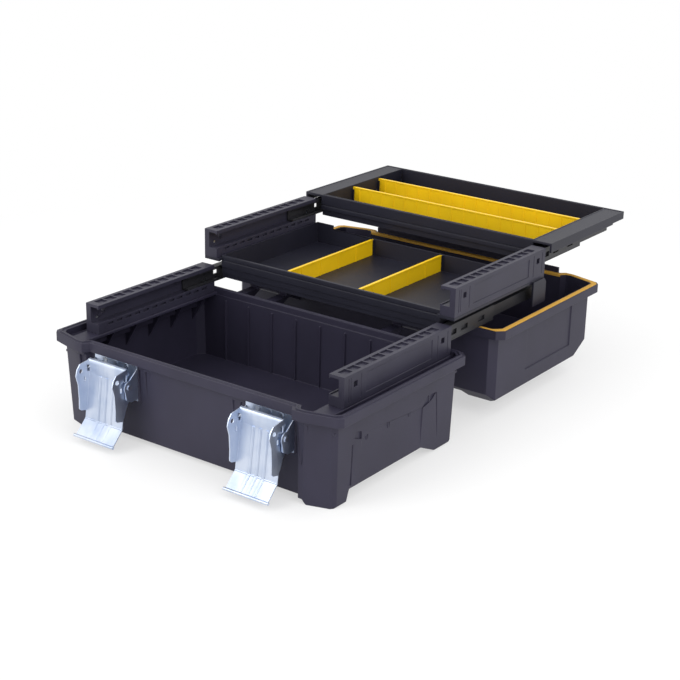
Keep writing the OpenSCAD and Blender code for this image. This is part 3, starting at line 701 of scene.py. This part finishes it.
@dataclass
class MiddleTray:
    """The middle tray with the upper rails and its dividers."""

    edge: float = 0.5 * MM
    rail_edge: float = 0.35 * MM

    def build(self) -> None:
        """Builds and dresses the middle tray."""
        replace_node("middle_tray", Finishes.TRAY, self.edge)
        for side in ("left", "right"):
            replace_node(f"upper_rail_{side}", Finishes.RAIL, self.rail_edge)
            replace_node(f"middle_divider_{side}", Finishes.DIVIDER, self.rail_edge)
        for node in ("upper_rail_screws", "upper_stop_pins"):
            dress_node(node, Finishes.PIN)


@dataclass
class TopTray:
    """The top tray and its dividers."""

    edge: float = 0.6 * MM
    divider_edge: float = 0.35 * MM

    def build(self) -> None:
        """Builds and dresses the top tray."""
        replace_node("top_tray", Finishes.TRAY, self.edge)
        for place in ("front", "rear"):
            replace_node(f"top_divider_{place}", Finishes.DIVIDER, self.divider_edge)


@dataclass
class Lid:
    """The laid-back lid with its seal and carry handle."""

    edge: float = 0.7 * MM
    seal_edge: float = 0.5 * MM

    def build(self) -> None:
        """Builds and dresses the lid."""
        replace_node("lid_shell", Finishes.CASE, self.edge)
        replace_node("lid_seal", Finishes.SEAL, self.seal_edge)
        replace_node("carry_handle", Finishes.CASE, self.edge)
        dress_node("handle_pins", Finishes.PIN)


@dataclass
class Latches:
    """The two latches with their brackets, links and levers."""

    edge: float = 0.25 * MM

    def build(self) -> None:
        """Builds and dresses the latches."""
        for side in ("left", "right"):
            for node in ("latch_bracket", "latch_link", "latch_lever"):
                replace_node(f"{node}_{side}", Finishes.ZINC, self.edge)
            dress_node(f"latch_lever_pin_{side}", Finishes.PIN)
        for node in ("bracket_rivets", "latch_pivot_rivets"):
            dress_node(node, Finishes.PIN)


# Studio ---------------------------------------------------------------------------


@dataclass
class PhotoCamera:
    """The camera, solved from the box's own right angles.

    Its place is given in axes where the front of the base lies at pad_front along
    Y, and build moves it to where the frame has that front. Angles are in degrees,
    lens and sensor in millimetres.
    """

    azimuth: float = 35.92
    elevation: float = 20.31
    roll: float = 1.3215
    lens: float = 82.48
    sensor: float = 36.0
    near: float = 0.05
    far: float = 60.0
    place: Triple = (1.13714, -1.26865, 0.78983)
    pad_front: float = -12.0 * MM

    def build(self) -> None:
        """Adds the camera and makes it the scene's."""
        az, el, roll = (math.radians(v) for v in (self.azimuth, self.elevation, self.roll))
        back = Vector((math.sin(az) * math.cos(el), -math.cos(az) * math.cos(el), math.sin(el)))
        level = Vector((math.cos(az), math.sin(az), 0.0))
        upward = back.cross(level)
        right = level * math.cos(roll) + upward * math.sin(roll)
        up = upward * math.cos(roll) - level * math.sin(roll)
        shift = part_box("base_tub")[0].y - self.pad_front
        spot = Vector(self.place) + Vector((0.0, shift, 0.0))
        turn = Matrix((right, up, back)).transposed()
        deselect()
        bpy.ops.object.camera_add(location=spot, rotation=turn.to_euler())
        camera = bpy.context.object
        camera.data.lens = self.lens
        camera.data.sensor_width = self.sensor
        camera.data.clip_start = self.near
        camera.data.clip_end = self.far
        bpy.context.scene.camera = camera


@dataclass
class Studio:
    """A pale floor, a white surround and soft lamps, each with its place, size and power."""

    floor_size: float = 30.0
    floor_colour: Colour = (0.92, 0.92, 0.92)
    shadow_fade: float = 0.55
    fade_from: float = 0.55
    fade_to: float = 1.0
    floor_roughness: float = 0.9
    floor_sheen: float = 0.1
    ambient: float = 1.0
    target: Triple = (0.0, 0.0, 0.1)
    lamps: list[tuple[Triple, float, float]] = field(
        default_factory=lambda: [
            ((-1.1, -2.7, 1.8), 1.8, 36.0),
            ((2.4, -0.6, 1.8), 1.4, 18.0),
            ((0.4, 2.6, 2.4), 1.6, 14.0),
        ]
    )

    def build(self) -> None:
        """Builds the floor, the surround and the lamps."""
        self._floor()
        self._surround()
        for place, size, power in self.lamps:
            self._lamp(place, size, power)
        view = bpy.context.scene.view_settings
        view.view_transform = "Standard"

    def _floor(self) -> None:
        """Adds the floor, which keeps part of the box's shadow and fades into white."""
        deselect()
        bpy.ops.mesh.primitive_plane_add(size=self.floor_size, location=(0, 0, 0))
        floor = bpy.context.object
        floor.name = "studio_floor"
        made = bpy.data.materials.new("floor_paper")
        made.use_nodes = True
        graph = Graph(made.node_tree)
        shader = graph.add(
            "ShaderNodeBsdfPrincipled",
            {},
            {
                "Base Color": rgba(self.floor_colour),
                "Roughness": self.floor_roughness,
                "Specular IOR Level": self.floor_sheen,
            },
        )
        white = graph.add("ShaderNodeEmission", {}, {"Color": WHITE, "Strength": 1.0})
        path = graph.add("ShaderNodeLightPath")
        seen = graph.wire(path, "Is Camera Ray").most(graph.wire(path, "Is Glossy Ray"))
        reach = graph.add("ShaderNodeVectorMath", {"operation": "LENGTH"}, {0: graph.place()})
        far = graph.wire(reach, "Value").ramp(self.fade_from, self.fade_to)
        part = far * (1.0 - self.shadow_fade) + self.shadow_fade
        mixed = graph.add(
            "ShaderNodeMixShader",
            {},
            {0: seen * part, 1: graph.wire(shader), 2: graph.wire(white)},
        )
        graph.add("ShaderNodeOutputMaterial", {}, {"Surface": graph.wire(mixed)})
        floor.data.materials.append(made)

    def _surround(self) -> None:
        """Sets the world: white, at one level of light."""
        world = bpy.data.worlds.new("studio_surround")
        bpy.context.scene.world = world
        world.use_nodes = True
        graph = Graph(world.node_tree)
        shader = graph.add("ShaderNodeBackground", {}, {"Color": WHITE, "Strength": self.ambient})
        graph.add("ShaderNodeOutputWorld", {}, {"Surface": graph.wire(shader)})

    def _lamp(self, place: Triple, size: float, power: float) -> None:
        """Adds one soft lamp that points at the box.

        Args:
            place: where it hangs.
            size: its width, in metres.
            power: its power in watts.
        """
        aim = Vector(self.target) - Vector(place)
        deselect()
        bpy.ops.object.light_add(
            type="AREA", location=place, rotation=aim.to_track_quat("-Z", "Y").to_euler()
        )
        lamp = bpy.context.object
        lamp.data.size = size
        lamp.data.energy = power


def main() -> None:
    """Builds the scene in order and logs each piece."""
    logging.basicConfig(level=logging.INFO, format="%(name)s: %(message)s")
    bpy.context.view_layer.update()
    PhotoCamera().build()
    Studio().build()
    for assembly in (BaseCase(), Slides(), MiddleTray(), TopTray(), Lid(), Latches()):
        assembly.build()
        LOG.info("built %s", type(assembly).__name__)
    deselect()


if __name__ == "__main__":
    main()
